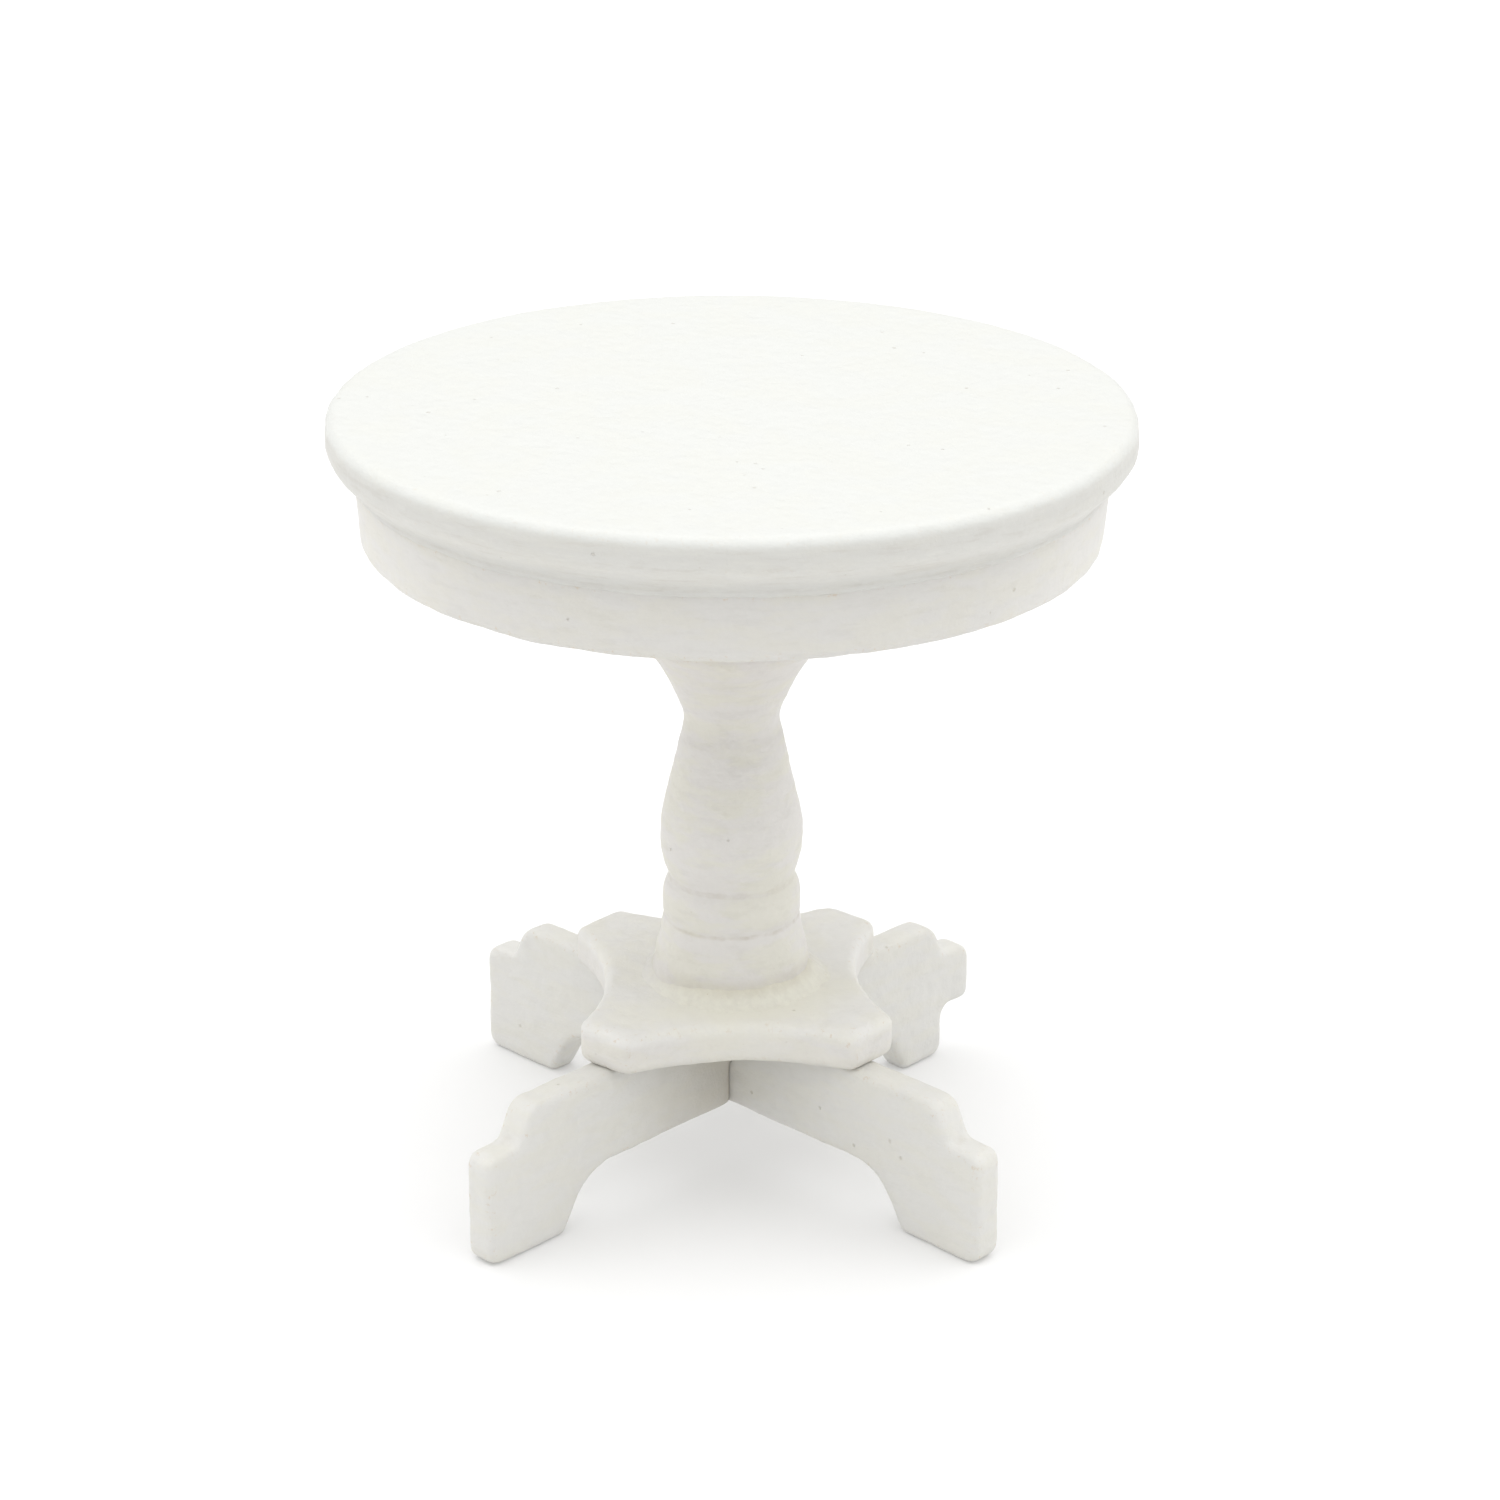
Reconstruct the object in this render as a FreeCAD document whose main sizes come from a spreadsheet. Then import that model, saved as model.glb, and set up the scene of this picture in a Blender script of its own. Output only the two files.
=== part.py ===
"""Miniature round pedestal table in painted wood, 1:12 scale, in millimetres.

A moulded round top and its apron stand on a turned column. The column is
dowelled to an eight-cornered base plate, which is glued across two crossed leg
boards, halved together where they meet.

Origin: on the floor, on the axis of the column. +Z is up, and one leg board
lies along X, the other along Y.
"""
import FreeCAD, Part
import Sketcher
import math
import os

SIZES = {
    # the whole table
    "table_height": 63.5,
    "top_radius": 31.0,
    # top: bullnose, in-slope and lip
    "top_underside": 58.7,
    "top_flat_radius": 30.1,
    "bullnose_top": 62.6,
    "bullnose_bottom": 61.4,
    "bullnose_top_round": 0.9,
    "bullnose_under_round": 1.15,
    "slope_start_radius": 30.68,
    "slope_start_level": 60.6,
    "lip_radius": 29.12,
    "lip_level": 58.95,
    # apron
    "apron_underside": 53.25,
    "apron_top_radius": 28.95,
    "apron_face_radius": 28.62,
    "apron_bottom_radius": 27.75,
    "apron_round_start": 54.2,
    "apron_round": 0.92,
    # column, from the foot up
    "foot_radius": 6.6,
    "bell_top_radius": 5.52,
    "bell_top_level": 20.85,
    "bell_hollow": 42.0,
    "ring_groove_radius": 5.3,
    "ring_groove_level": 21.1,
    "ring_bottom_level": 21.35,
    "ring_radius": 5.5,
    "ring_top_radius": 5.5,
    "ring_top_level": 23.1,
    "ring_shoulder": 2.0,
    "ring_swell": 14.0,
    "collar_radius": 4.92,
    "collar_level": 24.5,
    "belly_radius": 5.7,
    "belly_level": 27.9,
    "belly_lower_swell": 7.9,
    "belly_end_radius": 5.28,
    "belly_end_level": 31.0,
    "belly_upper_swell": 11.5,
    "neck_start_radius": 4.0,
    "neck_start_level": 36.65,
    "neck_end_radius": 4.12,
    "neck_end_level": 39.4,
    "neck_hollow": 3.6,
    "flare_radius": 6.7,
    "flare_level": 44.1,
    "flare_hollow": 20.0,
    "bead_top_level": 46.5,
    "bead_round": 1.35,
    "fillet_radius": 6.35,
    "fillet_level": 46.9,
    "head_start_level": 50.3,
    "head_radius": 7.6,
    "head_level": 52.6,
    "head_hollow": 2.6,
    # dowels and their holes
    "dowel_radius": 1.5,
    "dowel_chamfer": 0.25,
    "dowel_hole_radius": 1.54,
    "column_hole_depth": 8.0,
    "top_hole_depth": 3.0,
    "glue_gap": 0.2,
    # base plate
    "plate_top": 15.85,
    "plate_thickness": 3.4,
    "plate_reach": 15.15,
    "plate_end_half": 2.6,
    "plate_hollow": 17.7,
    "plate_corner_round": 1.1,
    "plate_edge_round": 0.75,
    "plate_twist": 2.2,
    # leg boards
    "board_thickness": 2.8,
    "board_top": 12.45,
    "board_edge_round": 0.5,
    "board_x_heading": 0.0,
    "board_y_heading": 90.0,
    "arch_level": 4.65,
    "arch_start": 14.9,
    "arch_round": 4.2,
    "arch_turn": 60.0,
    "foot_reach": 27.9,
    "foot_round": 1.1,
    "foot_top": 9.4,
    "step_start": 25.2,
    "step_turn": 65.0,
    "step_hollow": 0.8,
    "shoulder_round": 1.6,
    "lap_level": 8.55,
    "lap_clearance": 0.02,
    "lap_overrun": 1.0,
    # cut-out under one foot of the second board
    "notch_level": 4.35,
    "notch_start": 25.6,
    "notch_inner": 24.6,
    "notch_hollow_level": 3.35,
    "notch_hollow": 1.0,
    "notch_sole_level": 1.1,
    "notch_sole": 23.5,
    "notch_round": 1.1,
    "notch_lip_round": 0.65,
}

doc = FreeCAD.newDocument("miniature_table")


def add_worked_out_sizes():
    """Places where a curve runs smoothly into a straight, and the lap's width."""
    turn = math.radians(SIZES["arch_turn"])
    arch_end = SIZES["arch_start"] + SIZES["arch_round"] * math.sin(turn)
    arch_end_level = SIZES["arch_level"] - SIZES["arch_round"] * (1 - math.cos(turn))
    SIZES["arch_end"] = arch_end
    SIZES["arch_end_level"] = arch_end_level
    SIZES["sole_inner"] = arch_end + arch_end_level / math.tan(turn)

    turn = math.radians(SIZES["step_turn"])
    drop = 1 - math.cos(turn)
    step_level = SIZES["foot_top"] + SIZES["step_hollow"] * drop
    shoulder_level = SIZES["board_top"] - SIZES["shoulder_round"] * drop
    SIZES["step_level"] = step_level
    SIZES["step_inner"] = SIZES["step_start"] - SIZES["step_hollow"] * math.sin(turn)
    SIZES["shoulder_start_level"] = shoulder_level
    SIZES["shoulder_start"] = SIZES["step_inner"] - (shoulder_level - step_level) / math.tan(turn)
    SIZES["shoulder_end"] = SIZES["shoulder_start"] - SIZES["shoulder_round"] * math.sin(turn)

    SIZES["lap_half"] = SIZES["board_thickness"] / 2 + SIZES["lap_clearance"]


def make_sheet():
    """Spreadsheet with one named cell for each driving dimension."""
    sheet = doc.addObject("Spreadsheet::Sheet", "sizes")
    for row, (name, number) in enumerate(SIZES.items(), start=1):
        sheet.set("A%d" % row, name)
        sheet.set("B%d" % row, str(number))
        sheet.setAlias("B%d" % row, name)
    doc.recompute()


def value_of(formula):
    """Number given by a formula: sheet names or numbers joined by + and -."""
    total = 0.0
    sign = 1.0
    for word in formula.split():
        if word in ("+", "-"):
            sign = 1.0 if word == "+" else -1.0
        elif word in SIZES:
            total += sign * SIZES[word]
        else:
            total += sign * float(word)
    return total


def bound(formula):
    """The same formula written as an expression on the sheet."""
    words = ["sizes." + word if word in SIZES else word for word in formula.split()]
    return " ".join(words)


def new_body(name):
    body = doc.addObject("PartDesign::Body", name)
    body.Label = name
    return body


def new_sketch(body, name, plane, level=None):
    """Sketch on one of the body's own origin planes, raised by level if given."""
    sketch = body.newObject("Sketcher::SketchObject", name)
    origin_plane = [item for item in body.Origin.OriginFeatures if item.Role == plane][0]
    sketch.AttachmentSupport = [(origin_plane, "")]
    sketch.MapMode = "FlatFace"
    if level is not None:
        sketch.AttachmentOffset = FreeCAD.Placement(
            FreeCAD.Vector(0, 0, value_of(level)), FreeCAD.Rotation())
        sketch.setExpression("AttachmentOffset.Base.z", bound(level))
    return sketch


def arc_between(start, end, radius, side):
    """Arc of circle from start to end; side +1 bulges left of the way, -1 right."""
    chord = end - start
    middle = (start + end) * 0.5
    left = FreeCAD.Vector(-chord.y, chord.x, 0).normalize()
    offset = math.sqrt(radius ** 2 - (chord.Length / 2) ** 2)
    centre = middle - left * (side * offset)
    first, last = (end, start) if side > 0 else (start, end)
    first_angle = math.atan2(first.y - centre.y, first.x - centre.x)
    last_angle = math.atan2(last.y - centre.y, last.x - centre.x)
    if last_angle < first_angle:
        last_angle += 2 * math.pi
    circle = Part.Circle(centre, FreeCAD.Vector(0, 0, 1), radius)
    return Part.ArcOfCircle(circle, first_angle, last_angle)


def draw_outline(sketch, corners):
    """Closed outline through the corners, each place bound to the sheet.

    A corner is (across, up) for a straight edge to the next corner, or
    (across, up, radius, side) for an arc to it.
    """
    count = len(corners)
    points = [FreeCAD.Vector(value_of(c[0]), value_of(c[1]), 0) for c in corners]
    ends = []
    for index, corner in enumerate(corners):
        start = points[index]
        end = points[(index + 1) % count]
        if len(corner) == 2:
            sketch.addGeometry(Part.LineSegment(start, end), False)
            ends.append((1, 2))
        else:
            radius, side = corner[2], corner[3]
            sketch.addGeometry(arc_between(start, end, value_of(radius), side), False)
            ends.append((2, 1) if side > 0 else (1, 2))
    for index in range(count):
        following = (index + 1) % count
        sketch.addConstraint(Sketcher.Constraint(
            "Coincident", index, ends[index][1], following, ends[following][0]))
    for index, corner in enumerate(corners):
        place = (index, ends[index][0])
        for kind, formula, axis in (("DistanceX", corner[0], -2), ("DistanceY", corner[1], -1)):
            if formula == "0":
                sketch.addConstraint(Sketcher.Constraint("PointOnObject", *place, axis))
                continue
            number = sketch.addConstraint(Sketcher.Constraint(
                kind, -1, 1, *place, value_of(formula)))
            sketch.setExpression("Constraints[%d]" % number, bound(formula))
        if len(corner) > 2:
            number = sketch.addConstraint(Sketcher.Constraint(
                "Radius", index, value_of(corner[2])))
            sketch.setExpression("Constraints[%d]" % number, bound(corner[2]))


def turned(name, corners):
    """Body turned about the Z axis from a half outline of (radius, level) corners."""
    body = new_body(name)
    sketch = new_sketch(body, name + "_profile", "XZ_Plane")
    draw_outline(sketch, corners)
    turning = body.newObject("PartDesign::Revolution", name + "_turning")
    turning.Profile = sketch
    turning.ReferenceAxis = (sketch, ["V_Axis"])
    turning.Angle = 360.0
    sketch.Visibility = False
    doc.recompute()
    return body


def pad(body, name, sketch, length, symmetric):
    feature = body.newObject("PartDesign::Pad", name)
    feature.Profile = sketch
    feature.setExpression("Length", bound(length))
    if symmetric:
        feature.SideType = "Symmetric"
    doc.recompute()
    return feature


def check_removed(body, before, least):
    """A cut has to take away at least this much of the body."""
    removed = before - body.Shape.Volume
    if removed < least:
        raise RuntimeError("%s: a cut removed only %.3f" % (body.Label, removed))


def drill(body, name, level, depth, upward):
    """Dowel hole on the Z axis, from level, going up or down by depth."""
    before = body.Shape.Volume
    sketch = new_sketch(body, name + "_circle", "XY_Plane", level)
    radius = value_of("dowel_hole_radius")
    sketch.addGeometry(Part.Circle(FreeCAD.Vector(), FreeCAD.Vector(0, 0, 1), radius), False)
    sketch.addConstraint(Sketcher.Constraint("Coincident", 0, 3, -1, 1))
    number = sketch.addConstraint(Sketcher.Constraint("Radius", 0, radius))
    sketch.setExpression("Constraints[%d]" % number, bound("dowel_hole_radius"))
    hole = body.newObject("PartDesign::Pocket", name)
    hole.Profile = sketch
    hole.Reversed = upward
    hole.setExpression("Length", bound(depth))
    doc.recompute()
    full = math.pi * radius ** 2 * value_of(depth)
    check_removed(body, before, 0.99 * full)


def turn_about_z(body, angle):
    """Turn a whole body about the column's axis by an angle of the sheet."""
    body.Placement = FreeCAD.Placement(
        FreeCAD.Vector(), FreeCAD.Rotation(FreeCAD.Vector(0, 0, 1), value_of(angle)))
    body.setExpression("Placement.Rotation.Angle", bound(angle))


def names_of_faces(shape, direction):
    """Names of the two largest flat faces square to a direction."""
    flat = []
    for number, face in enumerate(shape.Faces, start=1):
        if not isinstance(face.Surface, Part.Plane):
            continue
        if abs(face.normalAt(0, 0).dot(direction)) > 0.999:
            flat.append((face.Area, "Face%d" % number))
    return [name for _, name in sorted(flat, reverse=True)[:2]]


def round_edges(body, name, selection, radius):
    before = body.Shape.Volume
    feature = body.newObject("PartDesign::Fillet", name)
    feature.Base = selection
    feature.setExpression("Radius", bound(radius))
    doc.recompute()
    check_removed(body, before, 0.001)
    return feature


def make_table_top():
    """Round board: bullnose edge, sloping in underneath to a small lip."""
    body = turned("table_top", [
        ("0", "top_underside"),
        ("lip_radius", "top_underside"),
        ("lip_radius", "lip_level"),
        ("slope_start_radius", "slope_start_level", "bullnose_under_round", -1),
        ("top_radius", "bullnose_bottom"),
        ("top_radius", "bullnose_top", "bullnose_top_round", -1),
        ("top_flat_radius", "table_height"),
        ("0", "table_height"),
    ])
    drill(body, "table_top_dowel_hole", "top_underside", "top_hole_depth", True)
    return body


def make_apron():
    """Disc under the top: face a little tapered, lower edge rounded."""
    body = turned("apron", [
        ("0", "apron_underside"),
        ("apron_bottom_radius", "apron_underside", "apron_round", -1),
        ("apron_face_radius", "apron_round_start"),
        ("apron_top_radius", "top_underside"),
        ("0", "top_underside"),
    ])
    drill(body, "apron_dowel_hole", "top_underside", "top_underside - apron_underside", False)
    return body


def make_column():
    """Turned baluster, dowelled at both ends."""
    body = turned("column", [
        ("0", "plate_top"),
        ("foot_radius", "plate_top", "bell_hollow", 1),
        ("bell_top_radius", "bell_top_level"),
        ("ring_groove_radius", "ring_groove_level"),
        ("ring_radius", "ring_bottom_level", "ring_swell", -1),
        ("ring_top_radius", "ring_top_level", "ring_shoulder", -1),
        ("collar_radius", "collar_level", "belly_lower_swell", -1),
        ("belly_radius", "belly_level", "belly_upper_swell", -1),
        ("belly_end_radius", "belly_end_level"),
        ("neck_start_radius", "neck_start_level", "neck_hollow", 1),
        ("neck_end_radius", "neck_end_level", "flare_hollow", 1),
        ("flare_radius", "flare_level", "bead_round", -1),
        ("flare_radius", "bead_top_level"),
        ("fillet_radius", "fillet_level"),
        ("fillet_radius", "head_start_level", "head_hollow", 1),
        ("head_radius", "head_level"),
        ("head_radius", "apron_underside"),
        ("0", "apron_underside"),
    ])
    drill(body, "column_foot_hole", "plate_top", "column_hole_depth", True)
    drill(body, "column_head_hole", "apron_underside", "column_hole_depth", False)
    return body


def make_dowel(name, bottom, top):
    """Plain dowel with chamfered ends, between two levels on the Z axis."""
    return turned(name, [
        ("0", bottom),
        ("dowel_radius - dowel_chamfer", bottom),
        ("dowel_radius", bottom + " + dowel_chamfer"),
        ("dowel_radius", top + " - dowel_chamfer"),
        ("dowel_radius - dowel_chamfer", top),
        ("0", top),
    ])


def make_base_plate():
    """Plate with a short end over each foot and a hollow between the ends."""
    body = new_body("base_plate")
    sketch = new_sketch(body, "base_plate_outline", "XY_Plane", "plate_top - plate_thickness")
    reach, half = "plate_reach", "plate_end_half"
    draw_outline(sketch, [
        (reach, "- " + half),
        (reach, half, "plate_hollow", 1),
        (half, reach),
        ("- " + half, reach, "plate_hollow", 1),
        ("- " + reach, half),
        ("- " + reach, "- " + half, "plate_hollow", 1),
        ("- " + half, "- " + reach),
        (half, "- " + reach, "plate_hollow", 1),
    ])
    plate = pad(body, "base_plate_pad", sketch, "plate_thickness", False)
    corners = []
    for number, edge in enumerate(plate.Shape.Edges, start=1):
        first, last = edge.Vertexes[0].Point, edge.Vertexes[-1].Point
        if abs(last.z - first.z) > 0.9 * value_of("plate_thickness"):
            corners.append("Edge%d" % number)
    rounded = round_edges(body, "base_plate_corners", (plate, corners), "plate_corner_round")
    faces = names_of_faces(rounded.Shape, FreeCAD.Vector(0, 0, 1))
    round_edges(body, "base_plate_edges", (rounded, faces), "plate_edge_round")
    drill(body, "base_plate_dowel_hole", "plate_top", "plate_thickness", False)
    turn_about_z(body, "plate_twist")
    return body


def foot_outline(notched):
    """Half outline of a board, from the middle of the arch round the foot and up."""
    lower = [
        ("arch_start", "arch_level", "arch_round", 1),
        ("arch_end", "arch_end_level"),
        ("sole_inner", "0"),
    ]
    if notched:
        lower += [
            ("notch_sole", "0", "notch_round", -1),
            ("notch_inner", "notch_sole_level"),
            ("notch_inner", "notch_hollow_level", "notch_hollow", 1),
            ("notch_start", "notch_level"),
            ("foot_reach - notch_lip_round", "notch_level", "notch_lip_round", -1),
            ("foot_reach", "notch_level + notch_lip_round"),
        ]
    else:
        lower += [
            ("foot_reach - foot_round", "0", "foot_round", -1),
            ("foot_reach", "foot_round"),
        ]
    upper = [
        ("foot_reach", "foot_top - foot_round", "foot_round", -1),
        ("foot_reach - foot_round", "foot_top"),
        ("step_start", "foot_top", "step_hollow", 1),
        ("step_inner", "step_level"),
        ("shoulder_start", "shoulder_start_level", "shoulder_round", -1),
        ("shoulder_end", "board_top"),
    ]
    return lower + upper


def mirrored(corners):
    """The same half outline on the other side, in the opposite order."""
    result = []
    count = len(corners)
    for index in range(count - 1, -1, -1):
        across, up = corners[index][:2]
        flipped = " ".join(
            {"+": "-", "-": "+"}.get(word, word) for word in ("+ " + across).split())
        leaving = corners[index - 1][2:] if index > 0 else ()
        result.append((flipped, up) + tuple(leaving))
    return result


def make_leg_board(name, notched, lap_from_above, heading):
    """Board with a foot at each end, halved at the middle over the other board.

    It is drawn along X and then turned about Z to its heading.
    """
    body = new_body(name)
    sketch = new_sketch(body, name + "_outline", "XZ_Plane")
    draw_outline(sketch, foot_outline(notched) + mirrored(foot_outline(False)))
    board = pad(body, name + "_board", sketch, "board_thickness", True)
    faces = names_of_faces(board.Shape, FreeCAD.Vector(0, 1, 0))
    round_edges(body, name + "_edges", (board, faces), "board_edge_round")
    before = body.Shape.Volume
    low, high = "arch_level", "lap_level"
    cut_low, cut_high = "arch_level - lap_overrun", "lap_level"
    if lap_from_above:
        low, high = "lap_level", "board_top"
        cut_low, cut_high = "lap_level", "board_top + lap_overrun"
    lap = new_sketch(body, name + "_lap_outline", "XZ_Plane")
    draw_outline(lap, [
        ("- lap_half", cut_low), ("lap_half", cut_low),
        ("lap_half", cut_high), ("- lap_half", cut_high)])
    cut = body.newObject("PartDesign::Pocket", name + "_lap")
    cut.Profile = lap
    cut.SideType = "Symmetric"
    cut.setExpression("Length", bound("board_thickness + board_thickness"))
    doc.recompute()
    slot = (value_of(high) - value_of(low)) * value_of("board_thickness + lap_clearance")
    check_removed(body, before, 0.95 * slot * value_of("board_thickness"))
    turn_about_z(body, heading)
    return body


def check_and_write(bodies):
    """Stop on any failed object or bad shape, then write one STEP file a piece."""
    doc.recompute()
    for item in doc.Objects:
        if "Invalid" in item.State or "Error" in item.State:
            raise RuntimeError("%s failed: %s" % (item.Name, item.State))
    for body in bodies:
        shape = body.Shape
        if shape.isNull() or not shape.isValid() or len(shape.Solids) != 1:
            raise RuntimeError("%s is not one valid solid" % body.Label)
    os.makedirs("parts", exist_ok=True)
    for body in bodies:
        body.Shape.exportStep(os.path.join("parts", body.Label + ".step"))
        box = body.Shape.BoundBox
        print("%-12s volume %9.2f  x %7.2f..%6.2f  y %7.2f..%6.2f  z %6.2f..%6.2f" % (
            body.Label, body.Shape.Volume, box.XMin, box.XMax, box.YMin, box.YMax,
            box.ZMin, box.ZMax))


add_worked_out_sizes()
make_sheet()
check_and_write([
    make_table_top(),
    make_apron(),
    make_column(),
    make_dowel("top_dowel", "apron_underside - column_hole_depth + glue_gap",
               "top_underside + top_hole_depth - glue_gap"),
    make_dowel("foot_dowel", "plate_top - plate_thickness",
               "plate_top + column_hole_depth - glue_gap"),
    make_base_plate(),
    make_leg_board("leg_board_x", False, True, "board_x_heading"),
    make_leg_board("leg_board_y", True, False, "board_y_heading"),
])
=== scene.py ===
import math

import bpy
import numpy as np
from mathutils import Matrix, Vector, noise


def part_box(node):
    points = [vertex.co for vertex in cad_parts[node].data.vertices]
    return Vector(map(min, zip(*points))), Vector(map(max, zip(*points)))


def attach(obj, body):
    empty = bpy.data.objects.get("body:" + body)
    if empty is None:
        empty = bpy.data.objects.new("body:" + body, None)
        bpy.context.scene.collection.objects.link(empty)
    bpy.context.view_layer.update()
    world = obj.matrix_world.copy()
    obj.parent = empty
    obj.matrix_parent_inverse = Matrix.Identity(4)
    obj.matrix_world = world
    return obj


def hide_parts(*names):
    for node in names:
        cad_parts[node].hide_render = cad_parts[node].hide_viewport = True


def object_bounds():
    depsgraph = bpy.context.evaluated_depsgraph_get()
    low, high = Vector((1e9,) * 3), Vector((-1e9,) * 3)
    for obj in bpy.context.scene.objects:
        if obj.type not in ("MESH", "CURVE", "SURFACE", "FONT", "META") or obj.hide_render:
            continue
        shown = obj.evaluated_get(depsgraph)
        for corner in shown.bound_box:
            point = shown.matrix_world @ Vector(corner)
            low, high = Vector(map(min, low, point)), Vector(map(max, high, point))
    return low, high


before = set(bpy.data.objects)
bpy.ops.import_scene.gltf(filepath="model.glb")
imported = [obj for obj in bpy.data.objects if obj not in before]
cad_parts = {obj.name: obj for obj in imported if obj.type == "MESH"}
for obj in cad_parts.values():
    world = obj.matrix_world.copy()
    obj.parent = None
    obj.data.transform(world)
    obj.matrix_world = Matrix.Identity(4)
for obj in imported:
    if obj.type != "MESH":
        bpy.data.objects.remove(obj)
CAD_LOW, CAD_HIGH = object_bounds()
HEIGHT = CAD_HIGH.z - CAD_LOW.z
MM = 0.001
FULL_TURN = 2 * math.pi
scene = bpy.context.scene


# ---------------------------------------------------------------- camera

VIEW_AZIMUTH = math.radians(43.99)
VIEW_ELEVATION = math.radians(22.34)
VIEW_DISTANCE = 321.3 * MM
VIEW_ROLL = math.radians(0.22)
VIEW_AIM = Vector((1.04 * MM, 1.01 * MM, 0.5516 * HEIGHT))
LENS_MM = 97.63
SENSOR_WIDTH_MM = 36.0
NEAREST, FARTHEST = 0.01, 50.0


def make_camera():
    """Camera at the photograph's angle, a long lens about 32 cm from the table."""
    data = bpy.data.cameras.new("camera")
    data.lens = LENS_MM
    data.sensor_width = SENSOR_WIDTH_MM
    data.clip_start = NEAREST
    data.clip_end = FARTHEST
    camera = bpy.data.objects.new("camera", data)
    scene.collection.objects.link(camera)
    back = Vector((
        math.sin(VIEW_AZIMUTH) * math.cos(VIEW_ELEVATION),
        -math.cos(VIEW_AZIMUTH) * math.cos(VIEW_ELEVATION),
        math.sin(VIEW_ELEVATION)))
    camera.location = VIEW_AIM + back * VIEW_DISTANCE
    turn = (-back).to_track_quat("-Z", "Y").to_matrix()
    camera.rotation_euler = (turn @ Matrix.Rotation(VIEW_ROLL, 3, "Z")).to_euler()
    scene.camera = camera


# ---------------------------------------------------------------- node building

class Nodes:
    """Short ways to add nodes to a material's or the world's tree."""

    def __init__(self, tree):
        self.nodes = tree.nodes
        self.links = tree.links

    def put(self, socket, value):
        """Feed an input from another node's output, or set its own value."""
        if isinstance(value, bpy.types.NodeSocket):
            self.links.new(value, socket)
        elif isinstance(value, tuple) and len(value) == 3 and socket.type == "RGBA":
            socket.default_value = (*value, 1.0)
        else:
            socket.default_value = value

    def math(self, operation, first, second=0.0, third=0.0, clamp=False):
        node = self.nodes.new("ShaderNodeMath")
        node.operation = operation
        node.use_clamp = clamp
        for socket, value in zip(node.inputs, (first, second, third)):
            self.put(socket, value)
        return node.outputs[0]

    def vector(self, operation, *values):
        """Vector arithmetic; its outputs are "Vector" and "Value"."""
        node = self.nodes.new("ShaderNodeVectorMath")
        node.operation = operation
        for socket, value in zip(node.inputs, values):
            self.put(socket, value)
        return node.outputs

    def along(self, axis, place):
        """One coordinate of a place."""
        split = self.nodes.new("ShaderNodeSeparateXYZ")
        self.put(split.inputs[0], place)
        return split.outputs[axis]


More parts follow.
